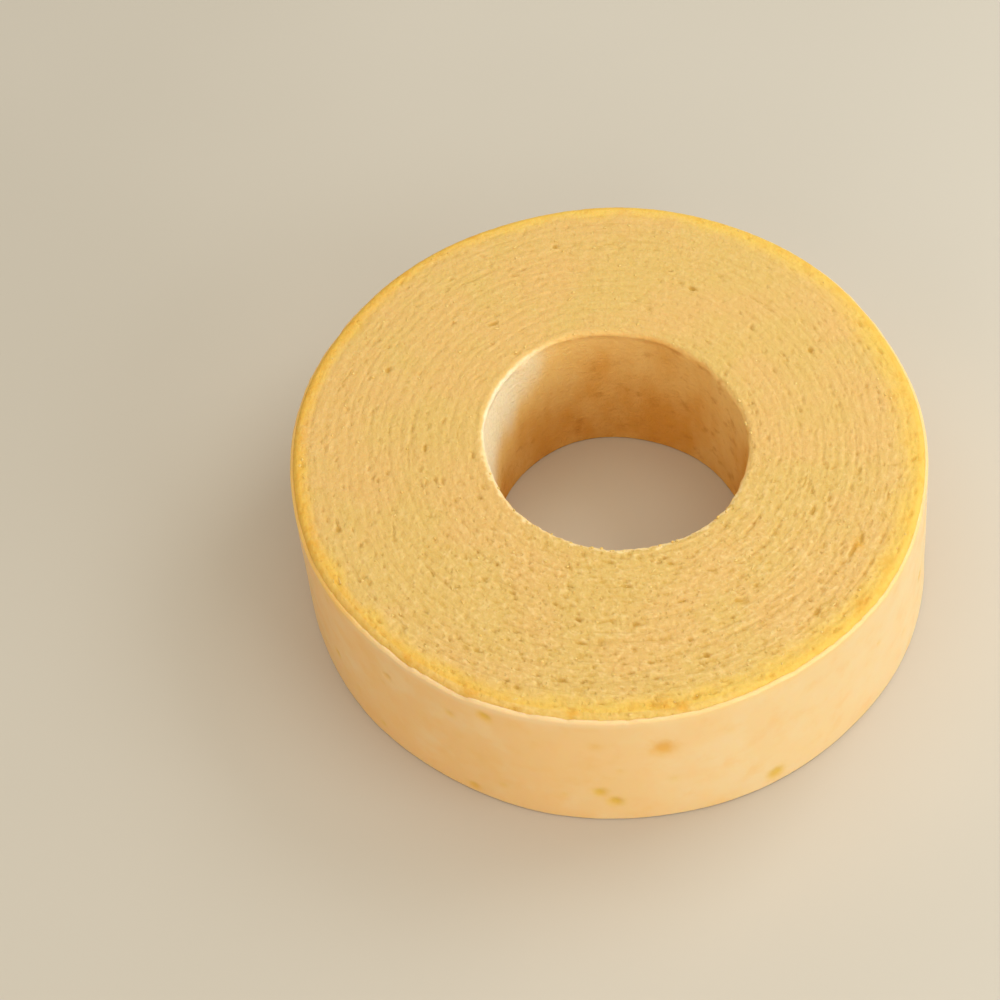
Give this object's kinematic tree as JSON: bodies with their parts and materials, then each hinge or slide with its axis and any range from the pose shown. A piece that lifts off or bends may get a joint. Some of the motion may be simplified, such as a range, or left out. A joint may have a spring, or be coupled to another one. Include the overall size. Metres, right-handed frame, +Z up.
{
  "type": "baumkuchen",
  "caption": "Ring of spit-baked layer cake with a round hole and a thin sugar glaze round its side, for serving whole or sliced.",
  "frame": {"origin": "centre of the lower cut face, on the surface that the ring lies on", "axes": "+Z up through the hole; +X and +Y lie in the cut face, and the picture was taken from the -Y side"},
  "size_m": [0.1509, 0.1503, 0.0432],
  "materials": {
    "crumb": "golden cut sponge, matt and moist, with fine pores in rings",
    "glaze": "thin half-clear sugar glaze, satin, the cake's colour showing through"
  },
  "bodies": {
    "root": {"cake_ring": "crumb", "sugar_glaze": "glaze"}
  },
  "joints": []
}
